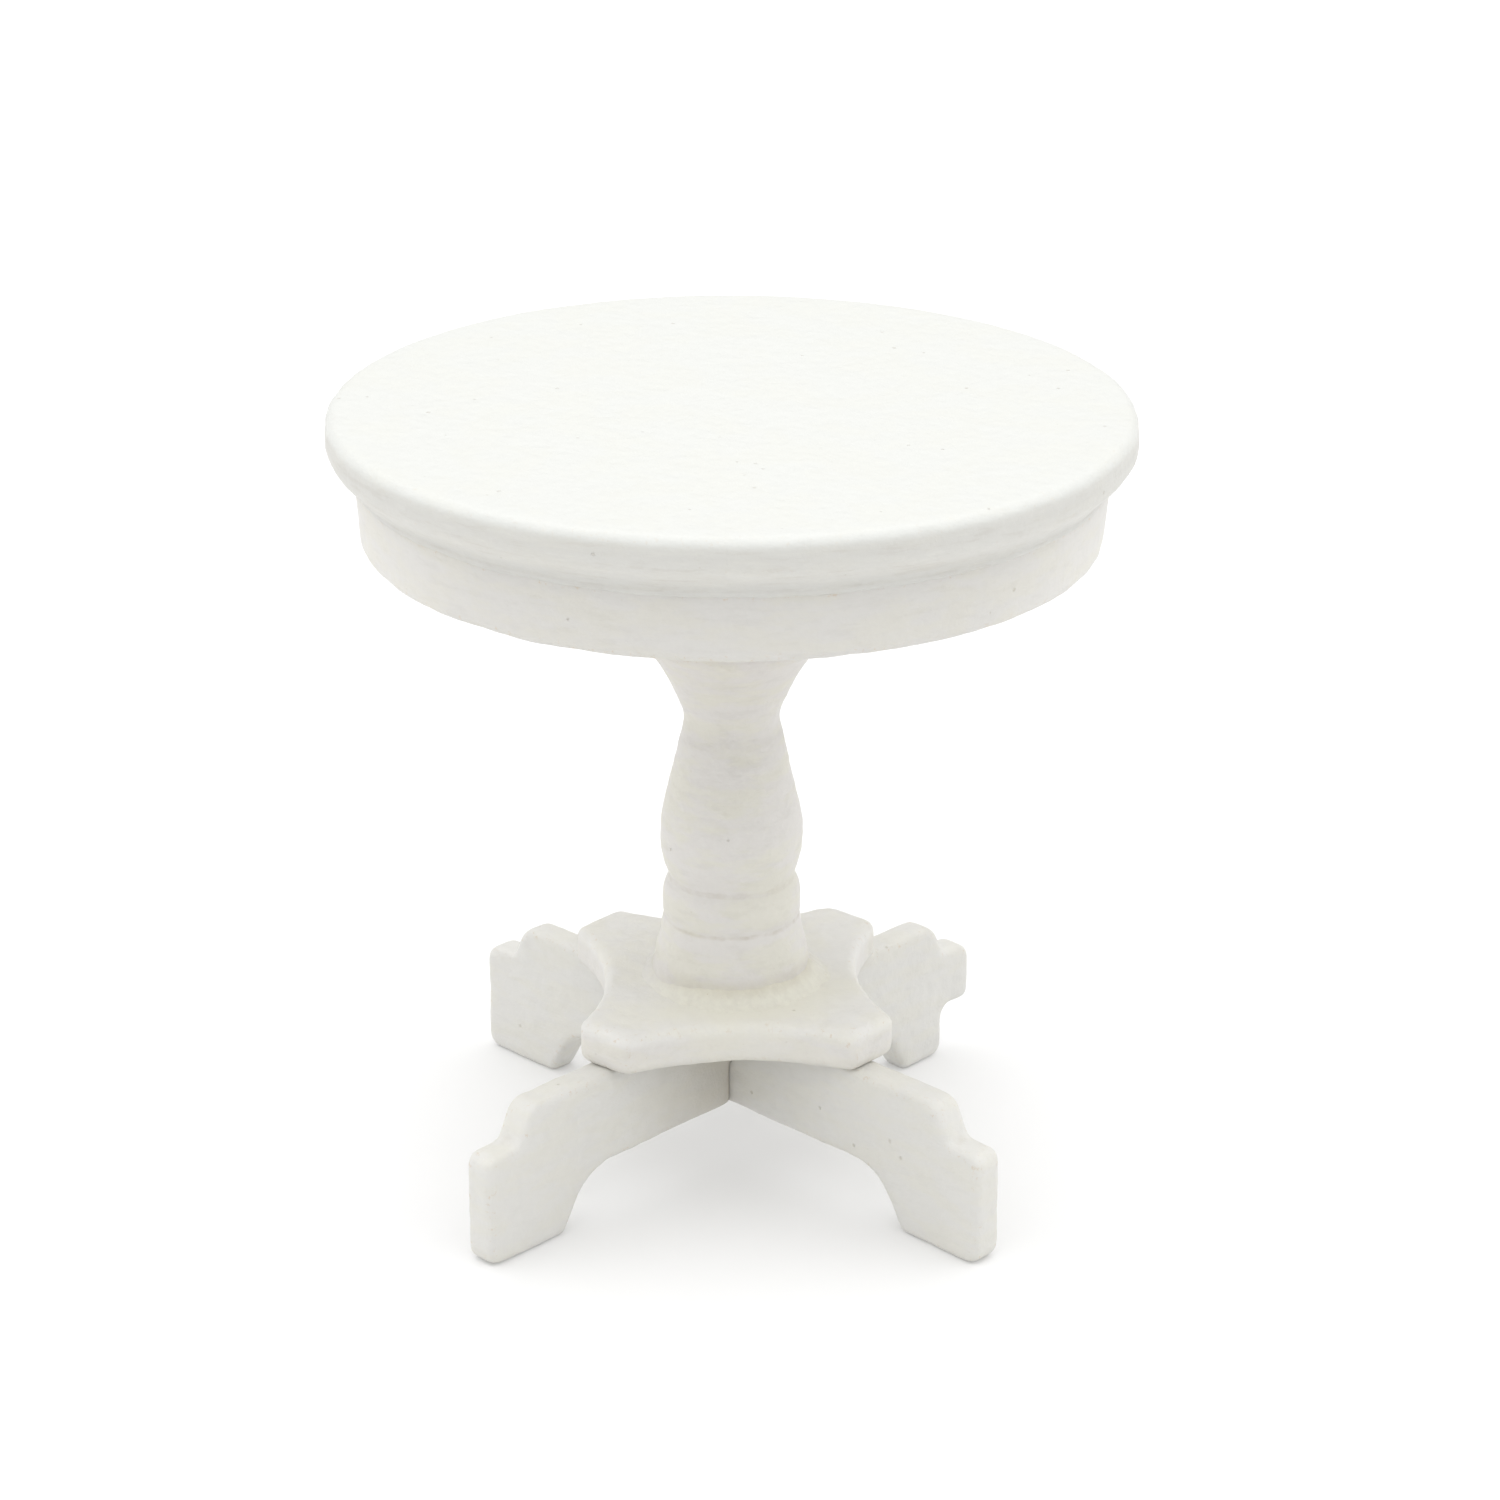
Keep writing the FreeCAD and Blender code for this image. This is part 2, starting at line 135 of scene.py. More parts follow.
class Shader(Nodes):
    """One material's nodes. Positions are in millimetres on the object."""

    def __init__(self, name):
        self.material = bpy.data.materials.new(name)
        self.material.use_nodes = True
        super().__init__(self.material.node_tree)
        self.surface = self.nodes["Principled BSDF"]
        object_place = self.nodes.new("ShaderNodeTexCoord").outputs["Object"]
        scaled = self.nodes.new("ShaderNodeVectorMath")
        scaled.operation = "SCALE"
        scaled.inputs["Scale"].default_value = 1.0 / MM
        self.put(scaled.inputs[0], object_place)
        self.place = scaled.outputs[0]

    def fade(self, value, start, end):
        """0 where value is at start, 1 where it is at end, smooth between."""
        node = self.nodes.new("ShaderNodeMapRange")
        node.interpolation_type = "SMOOTHSTEP"
        for name, number in (("Value", value), ("From Min", start), ("From Max", end)):
            self.put(node.inputs[name], number)
        return node.outputs[0]

    def stretched(self, stretch, shift=0.0):
        """Position with each axis scaled, for grain and brush marks."""
        return self.vector("MULTIPLY_ADD", self.place, stretch, (shift, shift, shift))["Vector"]

    def level(self):
        """Height above the floor."""
        return self.along("Z", self.place)

    def from_axis(self):
        """Distance from the column's axis."""
        return self.vector("LENGTH", self.stretched((1.0, 1.0, 0.0)))["Value"]

    def across(self, slope):
        """Distance along X, with that share of Y added."""
        return self.math(
            "MULTIPLY_ADD", self.along("Y", self.place), slope, self.along("X", self.place))

    def noise(self, scale, detail=2.0, roughness=0.5, place=None, distortion=0.0):
        """Soft random pattern, scale waves to the millimetre."""
        node = self.nodes.new("ShaderNodeTexNoise")
        self.put(node.inputs["Vector"], place or self.place)
        node.inputs["Scale"].default_value = scale
        node.inputs["Detail"].default_value = detail
        node.inputs["Roughness"].default_value = roughness
        node.inputs["Distortion"].default_value = distortion
        return node.outputs[0]

    def specks(self, scale, size, share):
        """1 in small round dots, in that share of the cells of a random pattern."""
        cells = self.nodes.new("ShaderNodeTexVoronoi")
        self.put(cells.inputs["Vector"], self.place)
        cells.inputs["Scale"].default_value = scale
        chosen = self.math("GREATER_THAN", self.along("X", cells.outputs["Color"]), 1.0 - share)
        own_size = self.math("MULTIPLY_ADD", self.along("Y", cells.outputs["Color"]), size, 0.4 * size)
        inside = self.math("DIVIDE", cells.outputs["Distance"], own_size)
        return self.math("MULTIPLY", self.fade(inside, start=1.0, end=0.45), chosen)

    def attribute(self, name):
        node = self.nodes.new("ShaderNodeAttribute")
        node.attribute_name = name
        return node.outputs["Fac"]

    def mix(self, factor, first, second, blend="MIX"):
        """The first colour where factor is 0, going to the second where it is 1."""
        node = self.nodes.new("ShaderNodeMix")
        node.data_type = "RGBA"
        node.blend_type = blend
        self.put(node.inputs["Factor"], factor)
        colours = [socket for socket in node.inputs if socket.type == "RGBA"]
        self.put(colours[0], first)
        self.put(colours[1], second)
        return [socket for socket in node.outputs if socket.type == "RGBA"][0]

    def tinted(self, colour, tint):
        """The colour multiplied by a tint or a shade."""
        return self.mix(1.0, colour, tint, "MULTIPLY")

    def bump(self, height, depth, below=None):
        """Relief of that depth in millimetres, on top of the relief below it."""
        node = self.nodes.new("ShaderNodeBump")
        node.inputs["Strength"].default_value = 1.0
        node.inputs["Distance"].default_value = depth * MM
        self.put(node.inputs["Height"], height)
        if below is not None:
            self.put(node.inputs["Normal"], below)
        return node.outputs[0]

    def finish(self, colour, roughness, normal, specular=0.4):
        self.put(self.surface.inputs["Base Color"], colour)
        self.put(self.surface.inputs["Roughness"], roughness)
        self.put(self.surface.inputs["Normal"], normal)
        self.surface.inputs["Specular IOR Level"].default_value = specular
        return self.material


# ---------------------------------------------------------------- light and floor

WHITE = (1.0, 1.0, 1.0)
DOME_HORIZON = 0.39
DOME_OVERHEAD = 1.84
DOME_SIDES = 0.74
LAMP_PLACE = Vector((0.40, -0.68, 0.40))
LAMP_AIM = Vector((0.0, 0.0, 0.03))
LAMP_WIDTH = 0.6
LAMP_WATTS = 0.05
FLOOR_HALF_WIDTH = 4.0
FLOOR_COLOUR = (0.72, 0.72, 0.72)
FLOOR_ROUGHNESS = 0.7
FLOOR_GLOW = 0.14


def make_dome():
    """Soft white dome, brightest overhead and from both sides of the view."""
    scene.view_settings.view_transform = "Standard"
    world = bpy.data.worlds.new("studio")
    scene.world = world
    world.use_nodes = True
    tree = Nodes(world.node_tree)
    background = tree.nodes["Background"]
    direction = tree.nodes.new("ShaderNodeTexCoord").outputs["Generated"]
    overhead = tree.math("POWER", tree.along("Z", direction), 2.0, clamp=True)
    strength = tree.math("MULTIPLY_ADD", overhead, DOME_OVERHEAD, DOME_HORIZON)
    right = (math.cos(VIEW_AZIMUTH), math.sin(VIEW_AZIMUTH), 0.0)
    sideways = tree.vector("DOT_PRODUCT", direction, right)["Value"]
    both_sides = tree.math("MULTIPLY", sideways, sideways)
    strength = tree.math("MULTIPLY_ADD", both_sides, DOME_SIDES, strength)
    tree.put(background.inputs["Color"], WHITE)
    tree.put(background.inputs["Strength"], strength)


def make_lamp():
    """Faint broad lamp in front of the table."""
    data = bpy.data.lights.new("front", "AREA")
    data.shape = "DISK"
    data.size = LAMP_WIDTH
    data.energy = LAMP_WATTS
    lamp = bpy.data.objects.new("front", data)
    scene.collection.objects.link(lamp)
    lamp.location = LAMP_PLACE
    lamp.rotation_euler = (LAMP_PLACE - LAMP_AIM).to_track_quat("Z", "Y").to_euler()


def make_floor():
    """Wide pale floor that glows a little, so it goes to white round the table."""
    material = bpy.data.materials.new("floor")
    material.use_nodes = True
    tree = Nodes(material.node_tree)
    surface = tree.nodes["Principled BSDF"]
    tree.put(surface.inputs["Base Color"], FLOOR_COLOUR)
    tree.put(surface.inputs["Roughness"], FLOOR_ROUGHNESS)
    tree.put(surface.inputs["Emission Color"], WHITE)
    tree.put(surface.inputs["Emission Strength"], FLOOR_GLOW)
    corners = [(-1, -1), (1, -1), (1, 1), (-1, 1)]
    mesh = bpy.data.meshes.new("floor")
    mesh.from_pydata(
        [(x * FLOOR_HALF_WIDTH, y * FLOOR_HALF_WIDTH, 0.0) for x, y in corners], [], [(0, 1, 2, 3)])
    mesh.materials.append(material)
    floor = bpy.data.objects.new("floor", mesh)
    scene.collection.objects.link(floor)


# ---------------------------------------------------------------- paint, glue and wood

BARE_WOOD = (0.56, 0.43, 0.29)
# Brown for real dirt in pinholes and dust, and for painted shade in hollows, creases and round the
# legs' crossing.
SHADE_AND_DIRT = (0.40, 0.35, 0.26)
STROKE_TINT = (0.88, 0.875, 0.86)
# Level of the groove over the column's foot, in millimetres.
GROOVE_LEVEL = 21.1


def painted(name, cool, warm, strokes, stroke_depth, stroke_tone, mottle, cloud,
            pinholes, wear, hollow_shade, extra=None, level_shade=None):
    """Hand-brushed satin paint on wood: mottled, with pinholes, worn arrises and painted shade in its
    hollows.

    It drifts between the cool and the warm white by mottle, and in lightness by cloud.
    strokes scales the brush strokes along each axis; their depth is in millimetres.
    extra is a function that adds to the colour, and the last argument tints it by level as painted
    shade and light.
    """
    s = Shader(name)
    drift = s.noise(0.55, detail=3.0, roughness=0.6, place=s.stretched((0.36, 0.36, 1.1), 2.6))
    patches = s.math("MULTIPLY", s.fade(drift, start=0.42, end=0.60), mottle)
    cloudy = s.noise(1.3, detail=4.0, roughness=0.65)
    shade = s.math("MULTIPLY_ADD", cloudy, cloud, 1.0 - 0.5 * cloud)
    colour = s.tinted(s.mix(patches, cool, warm), shade)

    brushed = s.noise(1.0, detail=4.0, roughness=0.6, place=s.stretched(strokes, 7.3))
    streaks = s.math("MULTIPLY", s.fade(brushed, start=0.50, end=0.32), stroke_tone)
    colour = s.mix(streaks, colour, s.tinted(colour, STROKE_TINT))

    bend = s.attribute("bend")
    patchy = s.fade(s.noise(0.8, detail=3.0, roughness=0.7), start=0.36, end=0.66)
    patchy = s.math("MULTIPLY_ADD", patchy, 0.75, 0.25)
    # Painted shade: hollows and creases are darkened towards the brown, as shade falls in them.
    shaded_hollow = s.math("MULTIPLY", s.fade(bend, start=0.08, end=0.55), patchy)
    colour = s.mix(s.math("MULTIPLY", shaded_hollow, hollow_shade), colour, SHADE_AND_DIRT)
    chipped = s.fade(s.noise(2.1, detail=5.0, roughness=0.75), start=0.57, end=0.66)
    bare = s.math("MULTIPLY", s.fade(bend, start=-0.16, end=-0.60), chipped)
    colour = s.mix(s.math("MULTIPLY", bare, wear), colour, BARE_WOOD)

    # Painted shade and light: the colour is tinted darker or lighter by level.
    if level_shade:
        colour = s.tinted(colour, shade_by_level(s, level_shade))
    if extra:
        colour = extra(s, colour)
    pits = s.specks(0.8, size=0.13, share=pinholes)
    dust = s.specks(1.15, size=0.10, share=0.10)
    colour = s.mix(s.math("MULTIPLY", pits, s.math("MULTIPLY", cloudy, 0.6)), colour, SHADE_AND_DIRT)
    colour = s.mix(s.math("MULTIPLY", dust, 0.16), colour, SHADE_AND_DIRT)

    normal = s.bump(s.noise(0.9, detail=3.0), 0.11)
    normal = s.bump(brushed, stroke_depth, normal)
    normal = s.bump(s.noise(4.5, detail=3.0, roughness=0.6), 0.018, normal)
    normal = s.bump(s.math("MULTIPLY", pits, -1.0), 0.05, normal)
    roughness = s.math("MULTIPLY_ADD", cloudy, 0.22, 0.38)
    return s.finish(colour, roughness, normal)


def shade_by_level(s, level_shade):
    """Painted shade and light that change with height: (level, tint) from the lowest up."""
    lowest, highest = level_shade[0][0], level_shade[-1][0]
    ramp = s.nodes.new("ShaderNodeValToRGB")
    ramp.color_ramp.interpolation = "EASE"
    stops = ramp.color_ramp.elements
    while len(stops) < len(level_shade):
        stops.new(0.5)
    for stop, (level, tint) in zip(stops, level_shade):
        stop.position = (level - lowest) / (highest - lowest)
        stop.color = (*tint, 1.0)
    above = s.math("SUBTRACT", s.level(), lowest)
    s.put(ramp.inputs[0], s.math("DIVIDE", above, highest - lowest))
    return ramp.outputs[0]


def towards_front(s, start, end):
    """0 to 1 across the table, along the way out of the column's front and a little right."""
    return s.fade(s.across(-0.45), start, end)


def foot_shade(s, colour):
    """Painted shade in the groove over the column's foot and in the crease above the glue, most at the
    front.
    """
    level = s.level()
    front = s.math("MULTIPLY_ADD", towards_front(s, start=-2.0, end=6.5), 0.85, 0.15)
    crease = s.math("MULTIPLY", s.fade(level, start=18.2, end=17.1), 0.28)
    off_groove = s.math("ABSOLUTE", s.math("SUBTRACT", level, GROOVE_LEVEL))
    groove_patches = s.fade(s.noise(0.7), start=0.40, end=0.62)
    groove = s.math("MULTIPLY", s.fade(off_groove, start=0.30, end=0.05), groove_patches)
    groove = s.math("MULTIPLY", groove, 0.34)
    # Painted shade in the crease and the groove, strongest at the front.
    painted_shade = s.math("MULTIPLY", s.math("ADD", crease, groove), front)
    patchy = s.math("MULTIPLY_ADD", s.noise(1.0, detail=4.0, roughness=0.7), 1.2, 0.2)
    return s.mix(s.math("MULTIPLY", painted_shade, patchy, clamp=True), colour, SHADE_AND_DIRT)


def rim_streaks(s, colour):
    """Brush streaks that run round the rim, under the level top face."""
    below = s.fade(s.level(), start=63.0, end=62.3)
    thick = s.noise(1.0, detail=4.0, roughness=0.65, place=s.stretched((0.26, 0.26, 2.0), 5.1))
    darker = s.tinted(colour, (0.950, 0.940, 0.930))
    paler = s.tinted(colour, (1.03, 1.03, 1.025))
    thin_share = s.math("MULTIPLY", s.fade(thick, start=0.48, end=0.34), below)
    thick_share = s.math("MULTIPLY", s.fade(thick, start=0.54, end=0.68), below)
    return s.mix(thick_share, s.mix(thin_share, colour, darker), paler)


def painted_side_light(s, colour):
    """Painted light from the sides: the apron is lighter to the left and right of the view than at its
    front and back.
    """
    away = s.math("ABSOLUTE", s.across(0.966))
    return s.mix(s.fade(away, start=22.0, end=39.0), colour, s.tinted(colour, (1.085, 1.085, 1.085)))


def glue_tint(s, colour):
    """Yellow cast of glue wiped over the plate in front of the column."""
    uneven = s.math("ADD", s.from_axis(), s.noise(0.35, detail=3.0, roughness=0.6))
    close = s.fade(uneven, start=13.5, end=8.0)
    wiped = s.math("MULTIPLY", towards_front(s, start=1.0, end=8.0), close)
    return s.mix(s.math("MULTIPLY", wiped, 0.75), colour, (0.710, 0.695, 0.606))


def crossing_shade(strength):
    """Painted shade on the leg boards towards where they cross under the plate, and a darker patch low
    down at the crossing.
    """
    def tint(s, colour):
        uneven = s.noise(0.5, detail=3.0, roughness=0.6)
        away = s.math("MULTIPLY_ADD", uneven, 4.0, s.from_axis())
        low = s.fade(s.level(), start=9.5, end=5.5)
        low_patch = s.math("MULTIPLY", s.fade(away, start=5.6, end=3.4), low)
        # Painted shade: darker towards the axis, under the plate.
        shade_towards_axis = s.math("MULTIPLY", s.fade(away, start=17.0, end=4.0), strength)
        return s.mix(s.math("MULTIPLY_ADD", low_patch, 0.18, shade_towards_axis), colour, SHADE_AND_DIRT)
    return tint


def wood(name, light, dark):
    """Plain birch dowel: long straight grain along Z."""
    s = Shader(name)
    grain = s.noise(
        1.0, detail=5.0, roughness=0.6, place=s.stretched((3.2, 3.2, 0.25)), distortion=0.4)
    pores = s.noise(1.0, place=s.stretched((14.0, 14.0, 0.9), 3.1))
    colour = s.mix(s.fade(grain, start=0.38, end=0.64), light, dark)
    dark_pores = s.math("MULTIPLY", s.fade(pores, start=0.44, end=0.36), 0.35)
    normal = s.bump(pores, 0.015, s.bump(grain, 0.03))
    roughness = s.math("MULTIPLY_ADD", grain, 0.15, 0.55)
    return s.finish(s.mix(dark_pores, colour, dark), roughness, normal, specular=0.3)


def dried_glue(name):
    """Yellowed wood glue brushed over with the same paint, lumpy and a little glossy, with painted
    shade where it meets the column.
    """
    s = Shader(name)
    side = towards_front(s, start=-3.0, end=6.0)
    lumps = s.noise(1.4, detail=4.0, roughness=0.6)
    high = s.fade(lumps, start=0.35, end=0.65)
    plain = s.mix(high, (0.675, 0.662, 0.632), (0.692, 0.680, 0.632))
    yellow = s.mix(high, (0.671, 0.654, 0.576), (0.710, 0.697, 0.611))
    colour = s.mix(side, plain, yellow)
    patchy = s.math("MULTIPLY_ADD", s.noise(1.0, detail=3.0, roughness=0.7), 1.4, 0.1)
    # Painted shade: the glue darkens next to the column, most at the front, in the crease under the
    # foot.
    painted_shade = s.math("MULTIPLY", s.attribute("rim"), patchy)
    colour = s.mix(s.math("MULTIPLY", painted_shade, 0.45, clamp=True), colour, (0.42, 0.37, 0.25))
    dots = s.math("MULTIPLY", s.specks(1.3, size=0.16, share=0.16), side)
    colour = s.mix(s.math("MULTIPLY", dots, 0.30), colour, (0.42, 0.35, 0.22))
    normal = s.bump(s.noise(5.0, detail=3.0, roughness=0.6), 0.02, s.bump(lumps, 0.10))
    roughness = s.math("MULTIPLY_ADD", lumps, 0.25, 0.32)
    return s.finish(colour, roughness, normal, specular=0.45)


# ---------------------------------------------------------------- mesh building

def new_piece(name, mesh, material, node=None):
    """A finished piece on the part's one body, standing for a CAD node if given."""
    piece = bpy.data.objects.new(name, mesh)
    scene.collection.objects.link(piece)
    mesh.materials.clear()
    mesh.materials.append(material)
    mesh.polygons.foreach_set("use_smooth", [True] * len(mesh.polygons))
    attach(piece, "root")
    if node:
        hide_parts(node)
    return piece


DOWEL_HOLE = 1.54
WIDEST_HOLE = 2.0
SAME_LEVEL = 0.0005
TOUCHING = 0.01


def outline_of(node):
    """Rings of a turned CAD node: outer ones from the bottom up, and its dowel-hole levels."""
    rings = set()
    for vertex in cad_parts[node].data.vertices:
        radius = math.hypot(vertex.co.x, vertex.co.y)
        rings.add((round(radius / MM, 3), round(vertex.co.z / MM, 3)))
    outer = sorted((level, radius) for radius, level in rings if radius > WIDEST_HOLE)
    ordered = []
    while outer:
        level = outer[0][0]
        same = [ring for ring in outer if ring[0] - level < SAME_LEVEL]
        outer = outer[len(same):]
        if ordered and abs(same[-1][1] - ordered[-1][0]) < abs(same[0][1] - ordered[-1][0]):
            same.reverse()
        ordered += [(radius, level) for level, radius in same]
    holes = sorted({level for radius, level in rings if 0.5 * WIDEST_HOLE < radius < WIDEST_HOLE})
    return ordered, holes


def soften(points, amount, step=0.04):
    """The same line resampled and smoothed, as thick paint rounds and fills it."""
    points = np.array(points)
    run = np.concatenate([[0.0], np.cumsum(np.hypot(*np.diff(points, axis=0).T))])
    along = np.linspace(0.0, run[-1], int(run[-1] / step) + 1)
    line = np.stack([np.interp(along, run, points[:, axis]) for axis in (0, 1)], axis=1)
    reach = int(4 * amount / step)
    weights = np.exp(-0.5 * (np.arange(-reach, reach + 1) * step / amount) ** 2)
    weights /= weights.sum()
    before = 2 * line[0] - line[reach:0:-1]
    after = 2 * line[-1] - line[-2:-reach - 2:-1]
    padded = np.concatenate([before, line, after])
    return np.stack([np.convolve(padded[:, axis], weights, "valid") for axis in (0, 1)], axis=1)


def thinned(line, gap, turn=math.radians(7)):
    """Fewer points: one at each small turn of the line, or after a gap, wider on flat ends."""
    kept = [0]
    heading = None
    for index in range(1, len(line) - 1):
        step = line[index + 1] - line[index]
        angle = math.atan2(step[1], step[0])
        if heading is None:
            heading = angle
        far = np.hypot(*(line[index] - line[kept[-1]]))
        flat = abs(step[1]) < 0.002 * abs(step[0])
        bent = abs(math.remainder(angle - heading, FULL_TURN)) > turn
        if far > (4 * gap if flat else gap) or (bent and far > 0.3 * gap):
            kept.append(index)
            heading = angle
    return line[kept + [len(line) - 1]]


def on_circle(radius, level, angle):
    """A vertex in metres, from a radius and a level in millimetres."""
    return radius * math.cos(angle) * MM, radius * math.sin(angle) * MM, level * MM


def turned_mesh(name, profile, segments, closed):
    """Mesh turned about Z from (radius, level) points in millimetres."""
    vertices, rows = [], []
    for radius, level in profile:
        if radius < 1e-6:
            rows.append([len(vertices)] * segments)
            vertices.append((0.0, 0.0, level * MM))
            continue
        rows.append(list(range(len(vertices), len(vertices) + segments)))
        vertices += [on_circle(radius, level, FULL_TURN * index / segments)
                     for index in range(segments)]
    pairs = list(zip(rows, rows[1:]))
    if closed:
        pairs.append((rows[-1], rows[0]))
    faces = []
    for low, high in pairs:
        for index in range(segments):
            following = (index + 1) % segments
            corners = [low[index], low[following], high[following], high[index]]
            corners = list(dict.fromkeys(corners))
            if len(corners) > 2:
                faces.append(corners)
    mesh = bpy.data.meshes.new(name)
    mesh.from_pydata(vertices, [], faces)
    mesh.update()
    return mesh


def vectors_of(mesh, kind):
    """Every vertex's co or normal, one row each."""
    flat = np.empty(3 * len(mesh.vertices), dtype=np.float32)
    mesh.vertices.foreach_get(kind, flat)
    return flat.reshape(-1, 3).astype(float)


def roughen(mesh, waves, lowest=None, calm=1.0):
    """Uneven hand-made surface. A wave is (height, size or three sizes, seed), in mm.

    Level faces get only the share calm of it, and nothing goes below lowest.
    """
    places = vectors_of(mesh, "co")
    normals = vectors_of(mesh, "normal")
    moved = np.zeros(len(places))
    for height, size, seed in waves:
        sizes = np.array(size if isinstance(size, tuple) else (size,) * 3)
        scaled = places / MM / sizes + seed
        moved += height * np.array([noise.noise(Vector(place)) for place in scaled])
    upright = np.abs(normals[:, 2])
    levelled = np.clip((upright - 0.80) / 0.18, 0.0, 1.0)
    moved *= 1.0 - (1.0 - calm) * levelled
    places += normals * moved[:, None] * MM
    if lowest is not None:
        places[:, 2] = np.maximum(places[:, 2], lowest)
    mesh.vertices.foreach_set("co", places.astype(np.float32).ravel())
    mesh.update()


def add_attribute(mesh, name, values):
    layer = mesh.attributes.new(name, "FLOAT", "POINT")
    layer.data.foreach_set("value", values)


def mark_bends(mesh, spread):
    """Attribute "bend": above 0 in hollows, below 0 on arrises, per millimetre."""
    places = vectors_of(mesh, "co") / MM
    normals = vectors_of(mesh, "normal")
    ends = np.empty(2 * len(mesh.edges), dtype=np.int32)
    mesh.edges.foreach_get("vertices", ends)
    first, second = ends.reshape(-1, 2).T
    step = places[second] - places[first]
    square = np.maximum((step ** 2).sum(axis=1), 1e-6)
    count = np.maximum(np.bincount(ends, minlength=len(places)), 1)

    def gathered(at_first, at_second):
        total = np.bincount(first, at_first, len(places))
        return (total + np.bincount(second, at_second, len(places))) / count

    bend = gathered((normals[first] * step).sum(axis=1) / square,
                    -(normals[second] * step).sum(axis=1) / square)
    for _ in range(spread):
        bend = 0.5 * bend + 0.5 * gathered(bend[second], bend[first])
    add_attribute(mesh, "bend", (2.0 * bend).astype(np.float32))


def make_turned(node, material, softness, segments, gap, waves, lip=(), calm=1.0):
    """A turned CAD node again, with its arrises and grooves softened by paint.

    The lip is a few more (radius, level) points before the outline's lowest one.
    """
    outer, holes = outline_of(node)
    bottom, top = outer[0][1], outer[-1][1]
    drilled_below = bool(holes) and abs(holes[0] - bottom) < TOUCHING
    drilled_above = bool(holes) and abs(holes[-1] - top) < TOUCHING
    through = drilled_below and drilled_above and len(holes) == 2
    start = (DOWEL_HOLE if drilled_below else 0.0, bottom)
    end = (DOWEL_HOLE if drilled_above else 0.0, top)
    line = soften([start] + list(lip) + outer + [end], softness)
    profile = [tuple(point) for point in thinned(line, gap)]
    if not through:
        if drilled_below:
            profile = [(0.0, holes[1]), (DOWEL_HOLE, holes[1])] + profile
        if drilled_above:
            profile += [(DOWEL_HOLE, holes[-2]), (0.0, holes[-2])]
    name = node + "_piece"
    mesh = turned_mesh(name, profile, segments, through)
    roughen(mesh, waves, calm=calm)
    mark_bends(mesh, spread=3)
    new_piece(name, mesh, material, node)


SAWN_VOXEL = 0.22


def make_sawn(node, material, smoothing, waves):
    """A sawn CAD node again, with all its arrises rounded over by sanding and paint."""
    name = node + "_piece"
    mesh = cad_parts[node].data.copy()
    mesh.transform(Matrix.Scale(1 / MM, 4))
    worker = bpy.data.objects.new(name + "_worker", mesh)
    scene.collection.objects.link(worker)
    remesh = worker.modifiers.new("remesh", "REMESH")
    remesh.mode = "VOXEL"
    remesh.voxel_size = SAWN_VOXEL
    smooth = worker.modifiers.new("smooth", "SMOOTH")
    smooth.factor = 0.5
    smooth.iterations = smoothing
    graph = bpy.context.evaluated_depsgraph_get()
    result = bpy.data.meshes.new_from_object(worker.evaluated_get(graph))
    bpy.data.objects.remove(worker)
    result.name = name
    result.transform(Matrix.Scale(MM, 4))
    roughen(result, waves, lowest=CAD_LOW.z)
    mark_bends(result, spread=4)
    new_piece(name, result, material, node)


GLUE_SEGMENTS = 240
GLUE_STEPS = 16
GLUE_THICKEST = math.radians(-18)
GLUE_LUMP = math.radians(36)
GLUE_LUMP_HALF_ANGLE = 0.12
GLUE_INNER_RADIUS = 6.50
GLUE_OUTER_RADIUS = 7.6
GLUE_HEIGHT = 0.55
GLUE_SWELL = 0.10
GLUE_SINK = 0.14
GLUE_SOLE_RADIUS = 5.6
GLUE_SOLE_SINK = 0.20
FOOT_TAPER = 0.26


def glue_section(angle):
    """One section of the bead: (radius, height over the plate, painted shade), from the column out.

    It is thicker by front, which is 1 at the thickest and 0 opposite, by one lump, and by a
    wave that goes above and below 0. Its edges sink into the plate.
    """
    front = (0.5 + 0.5 * math.cos(angle - GLUE_THICKEST)) ** 1.6
    off_lump = math.remainder(angle - GLUE_LUMP, FULL_TURN)
    lump = math.exp(-(off_lump / GLUE_LUMP_HALF_ANGLE) ** 2)
    wave = noise.noise(Vector((2.2 * math.cos(angle), 2.2 * math.sin(angle), 4.0)))
    height = GLUE_HEIGHT + 0.85 * front + 0.20 * wave + 0.45 * lump
    outer = GLUE_OUTER_RADIUS + 1.1 * front + 0.50 * wave + 0.20 * lump
    inner = GLUE_INNER_RADIUS - FOOT_TAPER * height
    section = []
    for step in range(GLUE_STEPS + 1):
        part = step / GLUE_STEPS
        hump = math.sin(math.pi * min(1.0, 1.6 * part)) * (0.3 + front + 1.6 * lump)
        slope = (height + GLUE_SINK) * (1 - part) ** 2.1
        rise = slope + max(0.0, GLUE_SWELL * hump) - GLUE_SINK
        # Painted shade, strongest next to the column and at the front.
        painted_shade = (0.15 + 0.85 * front) * max(0.0, 1 - part / 0.40)
        section.append((inner + (outer - inner) * part, rise, painted_shade))
    return section + [(GLUE_SOLE_RADIUS, -GLUE_SOLE_SINK, 0.0)]


